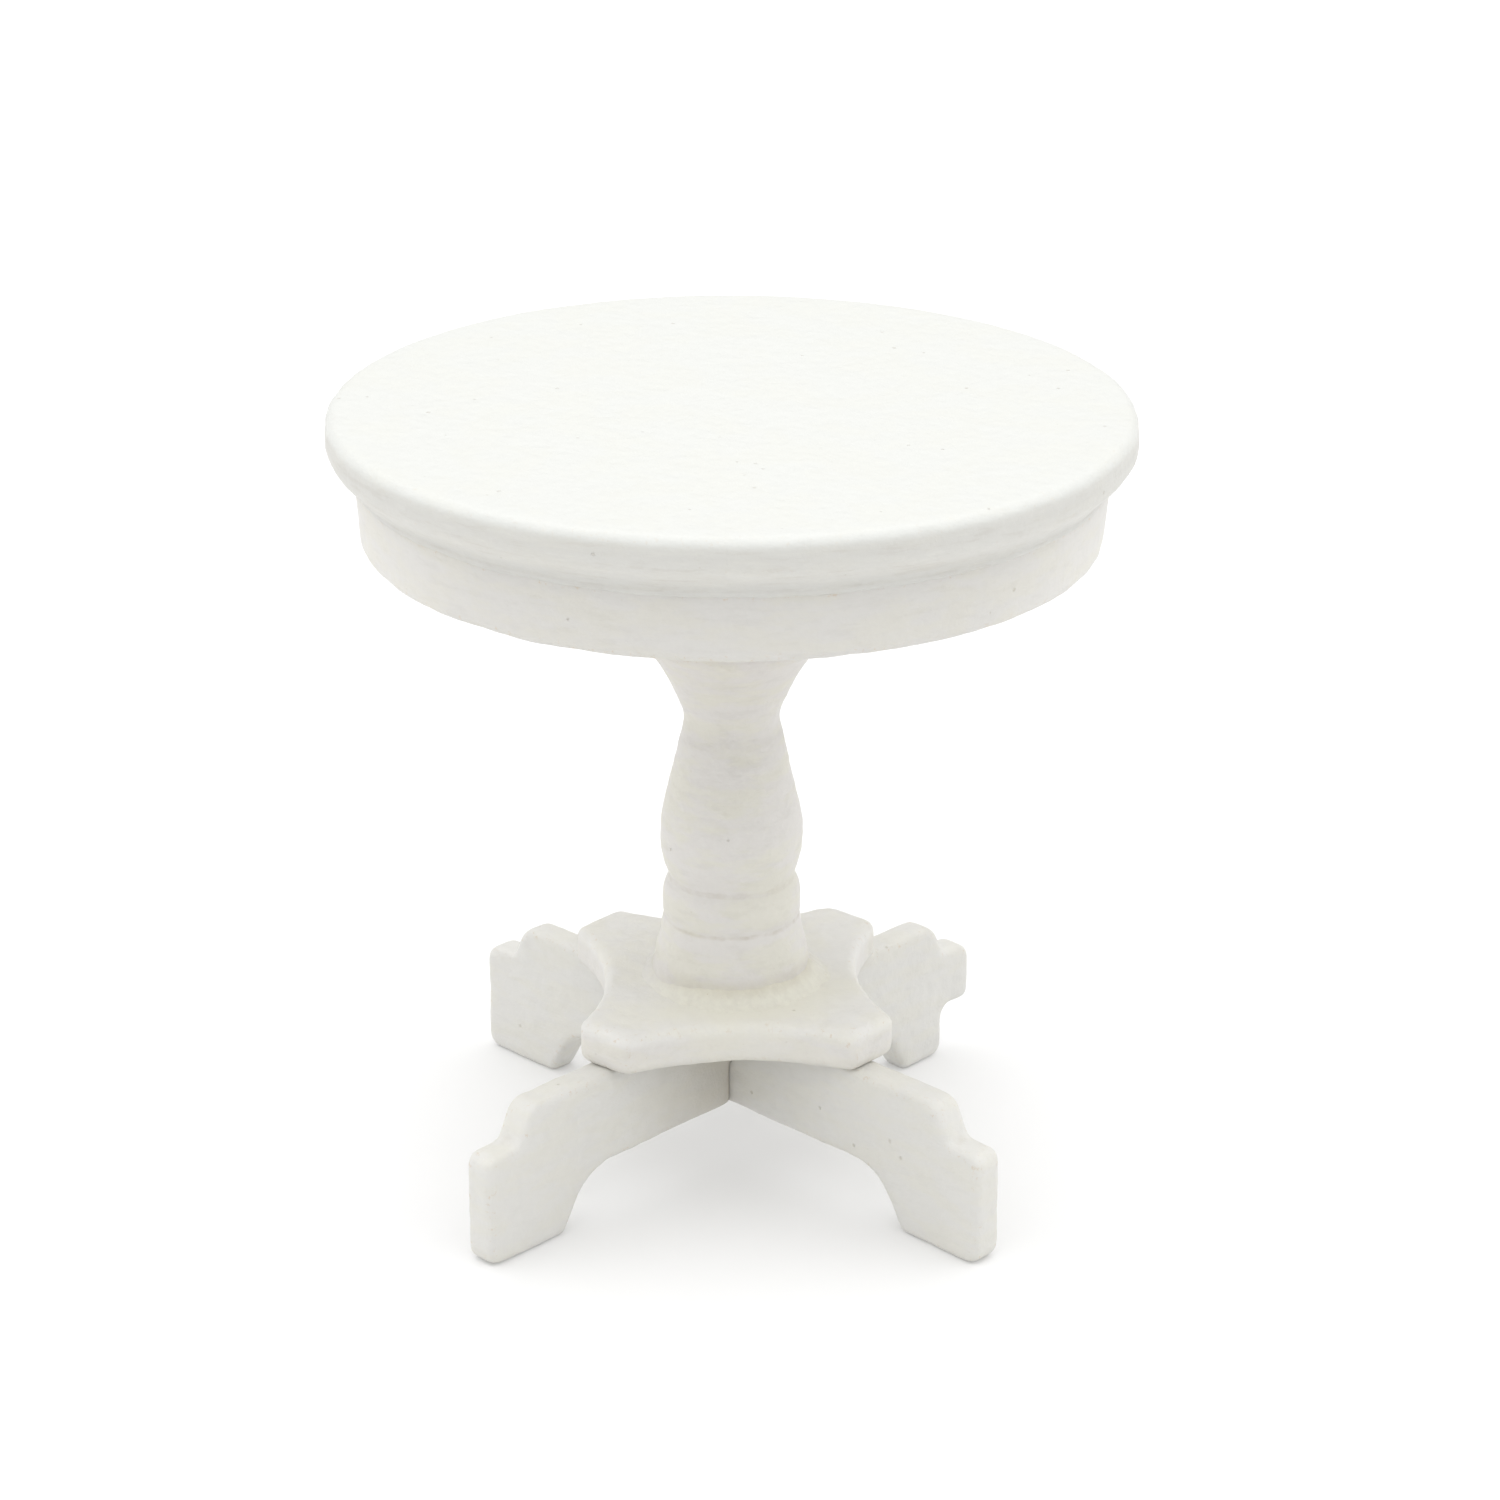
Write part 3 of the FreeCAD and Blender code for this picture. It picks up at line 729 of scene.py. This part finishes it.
def make_glue(name, material):
    """Lumpy bead of glue round the column's foot, thickest at the front and to the right."""
    plate_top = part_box("base_plate")[1].z / MM
    vertices, rim = [], []
    for index in range(GLUE_SEGMENTS):
        angle = FULL_TURN * index / GLUE_SEGMENTS
        for radius, rise, painted_shade in glue_section(angle):
            vertices.append(on_circle(radius, plate_top + rise, angle))
            rim.append(painted_shade)
    ring = GLUE_STEPS + 2
    faces = []
    for index in range(GLUE_SEGMENTS):
        here, there = index * ring, (index + 1) % GLUE_SEGMENTS * ring
        for step in range(ring):
            after = (step + 1) % ring
            faces.append((here + step, here + after, there + after, there + step))
    mesh = bpy.data.meshes.new(name)
    mesh.from_pydata(vertices, [], faces)
    mesh.update()
    # rim holds how much painted shade each point of the glue gets.
    add_attribute(mesh, "rim", rim)
    roughen(mesh, [(0.08, 0.9, 3.0), (0.03, 0.35, 8.0)])
    new_piece(name, mesh, material)


# ---------------------------------------------------------------- the table's looks

# Painted shade and light on the rim: darker bands on the bullnose face and at the joint with the
# apron, and a lighter band on the slope between them that faces the bright floor.
RIM_PAINTED_SHADE = [
    (58.40, (0.890, 0.875, 0.865)),
    (59.10, (0.890, 0.875, 0.865)),
    (60.50, (0.975, 0.955, 0.940)),
    (62.10, (0.905, 0.888, 0.875)),
    (62.50, (0.920, 0.905, 0.890)),
    (63.15, WHITE),
]
# Painted shade and light on the apron: darker at its top under the rim, a little lighter at its foot.
APRON_PAINTED_SHADE = [(53.2, (1.02, 1.02, 1.02)), (57.2, WHITE), (58.7, (0.965, 0.965, 0.965))]
# Painted shadow: the column darkens towards its top, under the apron.
COLUMN_PAINTED_SHADOW = [(33.0, WHITE), (47.0, (0.965, 0.955, 0.950))]
# Painted shade: the plate darkens towards its lower edge.
PLATE_PAINTED_SHADE = [(14.6, (0.955, 0.945, 0.940)), (15.3, WHITE)]

# The same white paint on every part, in lighter and darker copies as painted shade and light: darkest
# on the apron, lightest on the plate.
top_paint = painted(
    "top_paint", cool=(0.654, 0.660, 0.635), warm=(0.657, 0.659, 0.621),
    strokes=(0.5, 1.6, 1.6), stroke_depth=0.012, stroke_tone=0.05, mottle=0.6, cloud=0.02,
    pinholes=0.12, wear=0.15, hollow_shade=0.10, extra=rim_streaks, level_shade=RIM_PAINTED_SHADE)
apron_paint = painted(
    "apron_paint", cool=(0.622, 0.610, 0.582), warm=(0.627, 0.612, 0.560),
    strokes=(0.35, 0.35, 1.5), stroke_depth=0.05, stroke_tone=0.26, mottle=0.8, cloud=0.06,
    pinholes=0.07, wear=0.50, hollow_shade=0.10, extra=painted_side_light, level_shade=APRON_PAINTED_SHADE)
column_paint = painted(
    "column_paint", cool=(0.674, 0.656, 0.628), warm=(0.680, 0.665, 0.590),
    strokes=(0.42, 0.42, 1.25), stroke_depth=0.07, stroke_tone=0.34, mottle=0.8, cloud=0.08,
    pinholes=0.08, wear=0.25, hollow_shade=0.20, extra=foot_shade, level_shade=COLUMN_PAINTED_SHADOW)
plate_paint = painted(
    "plate_paint", cool=(0.708, 0.698, 0.670), warm=(0.712, 0.699, 0.640),
    strokes=(0.8, 0.8, 1.6), stroke_depth=0.050, stroke_tone=0.22, mottle=0.8, cloud=0.07,
    pinholes=0.07, wear=0.40, hollow_shade=0.30, extra=glue_tint, level_shade=PLATE_PAINTED_SHADE)


def leg_paint(name, strokes, painted_shade):
    return painted(
        name, cool=(0.679, 0.671, 0.642), warm=(0.683, 0.671, 0.616),
        strokes=strokes, stroke_depth=0.040, stroke_tone=0.16, mottle=0.7, cloud=0.06,
        pinholes=0.08, wear=0.40, hollow_shade=0.22, extra=crossing_shade(painted_shade))


# Only the board along Y gets the wider painted shade near the crossing; both get the darker patch low
# down.
leg_x_paint = leg_paint("leg_x_paint", strokes=(0.40, 1.4, 1.4), painted_shade=0.0)
leg_y_paint = leg_paint("leg_y_paint", strokes=(1.4, 0.40, 1.4), painted_shade=0.34)


# ---------------------------------------------------------------- the table

make_camera()
make_dome()
make_lamp()
make_floor()

# Paint fills the joint between the top and the apron as a small lip, in millimetres.
LIP_START, LIP_CORNER, LIP_DROP = 0.65, 0.45, 0.30
apron_top = max(radius for radius, level in outline_of("apron")[0])
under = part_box("table_top")[0].z / MM
joint_paint = [
    (apron_top - LIP_START, under),
    (apron_top - LIP_CORNER, under - LIP_DROP),
    (apron_top, under - LIP_DROP),
]

make_turned("table_top", top_paint, softness=0.12, segments=480, gap=0.22,
            waves=[(0.08, 4.5, 1.0), (0.05, 1.4, 5.0)], lip=joint_paint, calm=0.35)
make_turned("apron", apron_paint, softness=0.14, segments=420, gap=0.28,
            waves=[(0.08, 4.5, 11.0), (0.045, 1.4, 15.0)])
make_turned("column", column_paint, softness=0.27, segments=200, gap=0.20,
            waves=[(0.07, (5.0, 5.0, 2.2), 21.0), (0.05, (3.5, 3.5, 1.0), 25.0), (0.03, 0.7, 29.0)])
make_sawn("base_plate", plate_paint, smoothing=12,
          waves=[(0.11, 4.0, 31.0), (0.06, 1.2, 35.0)])
make_sawn("leg_board_x", leg_x_paint, smoothing=13,
          waves=[(0.08, 4.0, 41.0), (0.04, 1.2, 45.0)])
make_sawn("leg_board_y", leg_y_paint, smoothing=13,
          waves=[(0.08, 4.0, 51.0), (0.04, 1.2, 55.0)])
make_glue("glue_fillet", dried_glue("dried_glue"))

birch = wood("birch", light=(0.66, 0.52, 0.35), dark=(0.48, 0.34, 0.20))
for dowel in ("top_dowel", "foot_dowel"):
    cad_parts[dowel].data.materials.clear()
    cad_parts[dowel].data.materials.append(birch)
